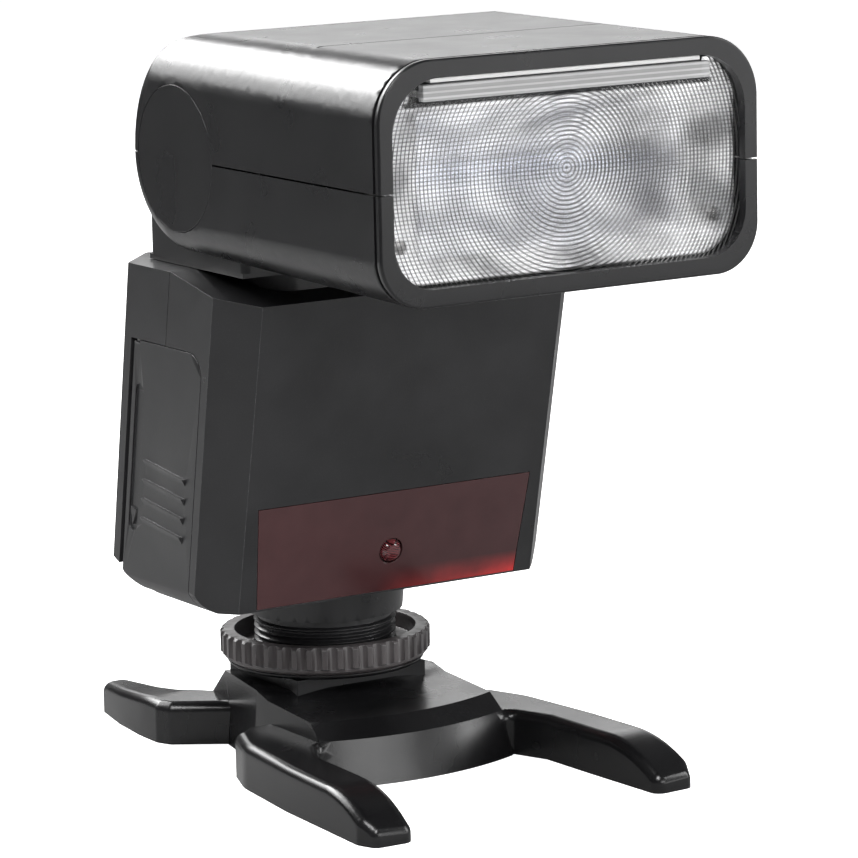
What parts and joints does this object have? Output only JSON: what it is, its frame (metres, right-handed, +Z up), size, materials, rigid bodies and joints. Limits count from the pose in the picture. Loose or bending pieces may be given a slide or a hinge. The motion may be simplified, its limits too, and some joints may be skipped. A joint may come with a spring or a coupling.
{
  "type": "shoe-mount camera flash",
  "caption": "Compact shoe-mount camera flash with a panning, tilting head, zoom reflector, slide-out panels and a battery door, on a low splayed-leg stand with a shoe.",
  "frame": {"origin": "mouth of the tripod bush in the stand's underside, on the axis of the lock ring; the floor is z = 0", "axes": "+Z up, the lens faces -Y at rest, the battery door is on the -X side"},
  "size_m": [0.062, 0.1044, 0.1096],
  "materials": {
    "body_plastic": "fine-textured black polycarbonate",
    "stand_plastic": "moulded black with a soft gloss",
    "key_plastic": "grey-black keys",
    "red_plastic": "dark red transparent acrylic",
    "clear_plastic": "clear moulded acrylic",
    "white_plastic": "white card",
    "ring_plastic": "dark grey moulded",
    "reflector_metal": "bright anodised",
    "steel": "plated steel",
    "brass": "turned",
    "contact_metal": "plated contact",
    "cell_sleeve": "printed sleeve",
    "capacitor_sleeve": "dark heat-shrink sleeve",
    "board": "green solder mask",
    "display": "display glass",
    "tube_glass": "quartz glass"
  },
  "bodies": {
    "stand": {"stand_base": "stand_plastic", "cold_shoe": "steel", "shoe_screws": "steel", "tripod_bush": "brass"},
    "flash_body": {"front_case": "body_plastic", "rear_case": "body_plastic", "red_window": "red_plastic", "focus_lamp": "tube_glass", "hot_shoe_foot": "body_plastic", "foot_contacts": "contact_metal", "threaded_collar": "body_plastic", "aa_cells": "cell_sleeve", "bay_contact": "contact_metal", "contact_springs": "contact_metal", "main_capacitor": "capacitor_sleeve", "charging_transformer": "capacitor_sleeve", "main_board": "board", "key_board": "board", "display_module": "display", "display_window": "display", "side_sockets": "key_plastic", "case_screws": "steel"},
    "lock_carrier": {"clamp_plate": "steel", "lock_pin": "steel"},
    "lock_ring": {"lock_ring": "ring_plastic"},
    "neck": {"neck_base_plate": "body_plastic", "pan_retainer": "steel", "pan_washer": "steel", "neck_housing": "body_plastic", "tilt_axle": "steel"},
    "head": {"head_upper_shell": "body_plastic", "head_lower_shell": "body_plastic", "hinge_caps": "body_plastic", "head_screws": "steel", "fresnel_lens": "clear_plastic", "panel_tray": "body_plastic", "tilt_detent_discs": "steel", "zoom_guide_rods": "steel", "zoom_motor": "steel", "trigger_board": "board", "trigger_coil": "capacitor_sleeve"},
    "zoom_carriage": {"zoom_carriage": "body_plastic", "reflector": "reflector_metal", "flash_tube": "tube_glass", "tube_end_caps": "contact_metal"},
    "zoom_screw": {"zoom_screw": "steel"},
    "wide_panel": {"wide_panel": "clear_plastic"},
    "catchlight_card": {"catchlight_card": "white_plastic"},
    "door_slider": {"door_pin": "steel"},
    "battery_door": {"battery_door": "body_plastic", "door_contact": "contact_metal"},
    "key_1": {"key_1": "key_plastic"},
    "key_2": {"key_2": "key_plastic"},
    "key_3": {"key_3": "key_plastic"},
    "key_4": {"key_4": "key_plastic"},
    "test_key": {"test_key": "key_plastic"},
    "select_dial": {"select_dial": "key_plastic"},
    "set_key": {"set_key": "key_plastic"},
    "power_slider": {"power_slider": "key_plastic"}
  },
  "joints": [
    {"name": "shoe_slide", "type": "slide", "parent": "stand", "child": "flash_body", "axis": [0, 1, 0], "range_m": [0, 0.025]},
    {"name": "lock_lift", "type": "slide", "parent": "flash_body", "child": "lock_carrier", "axis": [0, 0, 1], "range_m": [0, 0.001]},
    {"name": "lock_ring_turn", "type": "hinge", "parent": "lock_carrier", "child": "lock_ring", "pos_m": [0, 0, 0.0155], "axis": [0, 0, 1], "range_deg": [0, 360]},
    {"name": "head_pan", "type": "hinge", "parent": "flash_body", "child": "neck", "pos_m": [0, -0.0105, 0.0755], "axis": [0, 0, 1], "range_deg": [-90, 180]},
    {"name": "head_tilt", "type": "hinge", "parent": "neck", "child": "head", "pos_m": [0, -0.0136, 0.0921], "axis": [-1, 0, 0], "range_deg": [0, 90]},
    {"name": "zoom_slide", "type": "slide", "parent": "head", "child": "zoom_carriage", "axis": [0, 1, 0], "range_m": [0, 0.01]},
    {"name": "zoom_screw_turn", "type": "hinge", "parent": "head", "child": "zoom_screw", "pos_m": [-0.0257, -0.045, 0.097], "axis": [0, 1, 0], "range_deg": [-1, 1441]},
    {"name": "wide_panel_slide", "type": "slide", "parent": "head", "child": "wide_panel", "axis": [0, -1, 0], "range_m": [0, 0.028]},
    {"name": "card_slide", "type": "slide", "parent": "head", "child": "catchlight_card", "axis": [0, -1, 0], "range_m": [0, 0.028]},
    {"name": "door_slide", "type": "slide", "parent": "flash_body", "child": "door_slider", "axis": [0.014, 0.1959, -0.9805], "range_m": [0, 0.004]},
    {"name": "door_swing", "type": "hinge", "parent": "door_slider", "child": "battery_door", "pos_m": [-0.0291, 0.00412, 0.05082], "axis": [0.014, 0.1959, -0.9805], "range_deg": [0, 100]},
    {"name": "key_1_press", "type": "slide", "parent": "flash_body", "child": "key_1", "axis": [0, -0.9806, -0.1959], "range_m": [0, 0.0006]},
    {"name": "key_2_press", "type": "slide", "parent": "flash_body", "child": "key_2", "axis": [0, -0.9806, -0.1959], "range_m": [0, 0.0006]},
    {"name": "key_3_press", "type": "slide", "parent": "flash_body", "child": "key_3", "axis": [0, -0.9806, -0.1959], "range_m": [0, 0.0006]},
    {"name": "key_4_press", "type": "slide", "parent": "flash_body", "child": "key_4", "axis": [0, -0.9806, -0.1959], "range_m": [0, 0.0006]},
    {"name": "test_key_press", "type": "slide", "parent": "flash_body", "child": "test_key", "axis": [0, -0.9806, -0.1959], "range_m": [0, 0.0006]},
    {"name": "dial_turn", "type": "hinge", "parent": "flash_body", "child": "select_dial", "pos_m": [0.008, 0.0158, 0.04337], "axis": [0, -0.9806, -0.1959], "continuous": true},
    {"name": "set_key_press", "type": "slide", "parent": "flash_body", "child": "set_key", "axis": [0, -0.9806, -0.1959], "range_m": [0, 0.0006]},
    {"name": "power_slide", "type": "slide", "parent": "flash_body", "child": "power_slider", "axis": [1, 0, 0], "range_m": [0, 0.0038]}
  ],
  "couplings": [
    {"joint": "lock_lift", "follows": "lock_ring_turn", "m_per_rad": 0.00015915},
    {"joint": "zoom_screw_turn", "follows": "zoom_slide", "rad_per_m": 2513.3}
  ]
}
